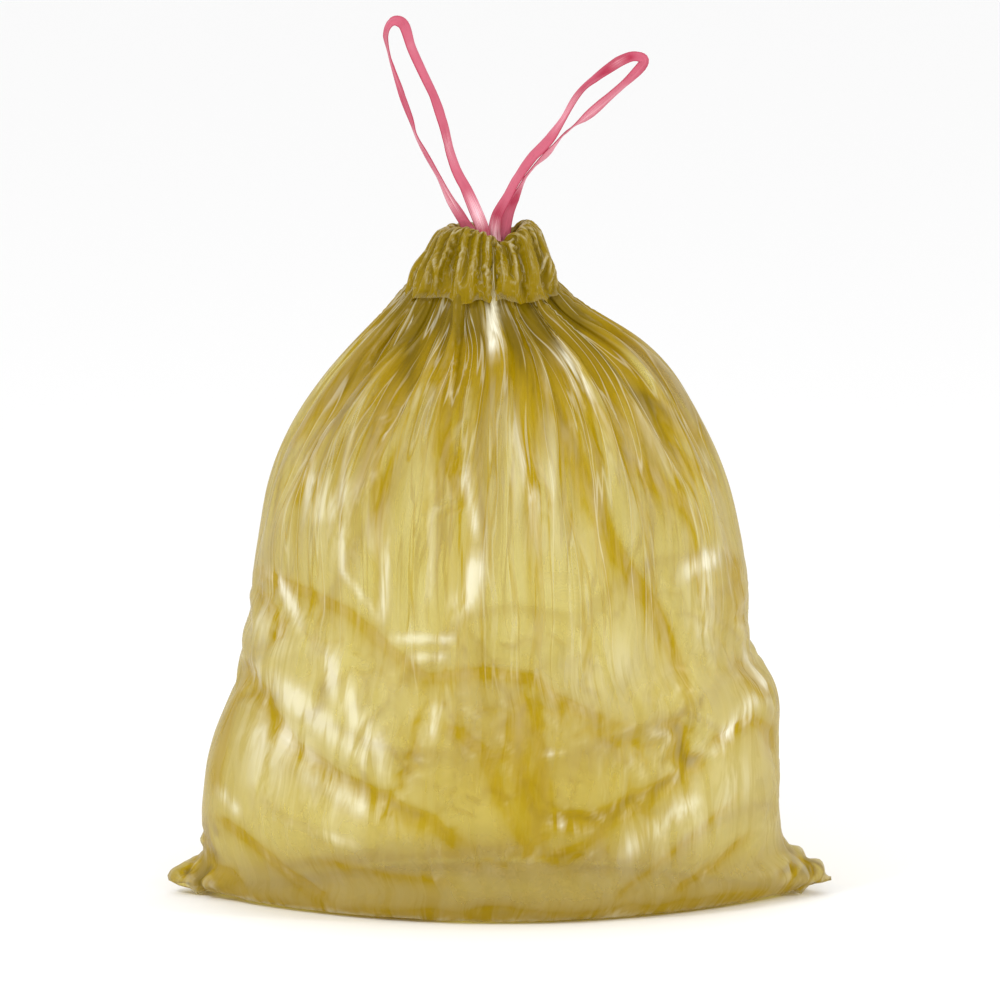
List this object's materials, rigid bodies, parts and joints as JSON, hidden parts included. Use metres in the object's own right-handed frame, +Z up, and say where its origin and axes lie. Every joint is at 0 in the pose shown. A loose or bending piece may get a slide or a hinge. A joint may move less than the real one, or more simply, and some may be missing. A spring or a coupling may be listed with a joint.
{
  "type": "garbage bag",
  "caption": "Filled drawstring garbage bag standing on its base, with pinched bottom corners, a gathered neck and two tape loops to carry it by.",
  "frame": {"origin": "on the floor, in the middle of the bag's flat underside", "axes": "+Z up; +X along the bottom weld, towards the right-hand corner in the picture; -Y towards the viewer"},
  "size_m": [0.4817, 0.2817, 0.6394],
  "materials": {
    "film": "thin olive-yellow polythene film, see-through, soft gloss",
    "tape": "thin pinkish-red polythene tape, soft gloss"
  },
  "bodies": {
    "root": {"bag_film": "film", "drawtape_left": "tape", "drawtape_right": "tape"}
  },
  "joints": []
}
